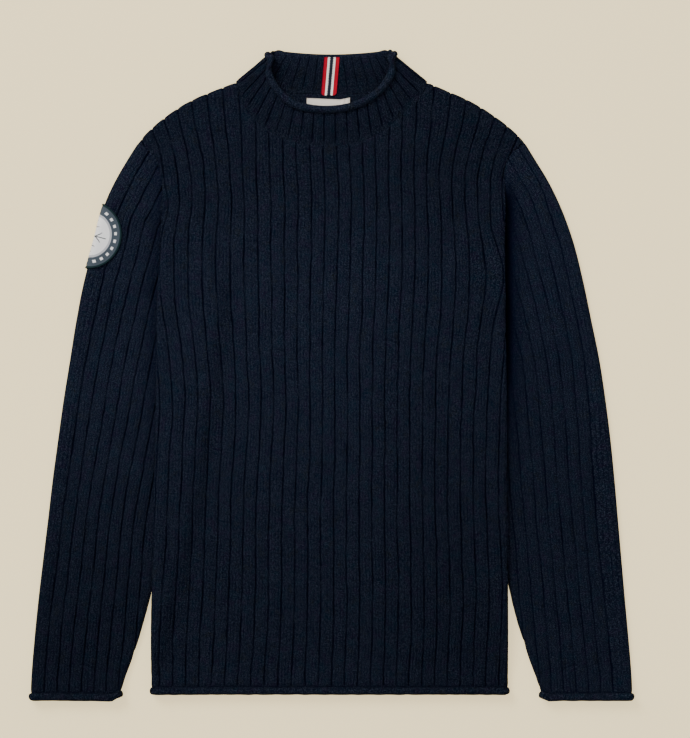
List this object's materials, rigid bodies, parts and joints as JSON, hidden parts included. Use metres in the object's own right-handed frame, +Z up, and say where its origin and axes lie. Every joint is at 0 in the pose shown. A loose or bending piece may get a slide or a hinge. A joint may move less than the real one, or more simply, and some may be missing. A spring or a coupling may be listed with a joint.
{
  "type": "roll-neck rib-knit sweater laid flat",
  "caption": "Long-sleeved rib-knit sweater laid flat on its back, with a short stand collar, rolled raw edges at neck, hem and cuffs, and a round badge at one upper sleeve fold.",
  "frame": {"origin": "centre of the bounding box in plan, on the surface that the sweater lies on", "axes": "+Y from hem to neck, +X toward the wearer's left sleeve, +Z up out of the front of the garment"},
  "size_m": [0.6948, 0.7452, 0.0181],
  "materials": {
    "front_panel_knit": "matt dark navy rib knit",
    "back_panel_knit": "matt dark navy rib knit",
    "sleeve_right_knit": "matt dark navy rib knit",
    "sleeve_left_knit": "matt dark navy rib knit",
    "collar_knit": "matt dark navy rib knit",
    "tape_woven": "woven striped tape",
    "label_woven": "plain woven label",
    "patch_embroidery": "embroidered badge with a stitched border"
  },
  "bodies": {
    "root": {"front_panel": "front_panel_knit", "back_panel": "back_panel_knit", "sleeve_right": "sleeve_right_knit", "sleeve_left": "sleeve_left_knit", "collar": "collar_knit", "neck_tape": "tape_woven", "neck_label": "label_woven", "arm_patch": "patch_embroidery"}
  },
  "joints": []
}
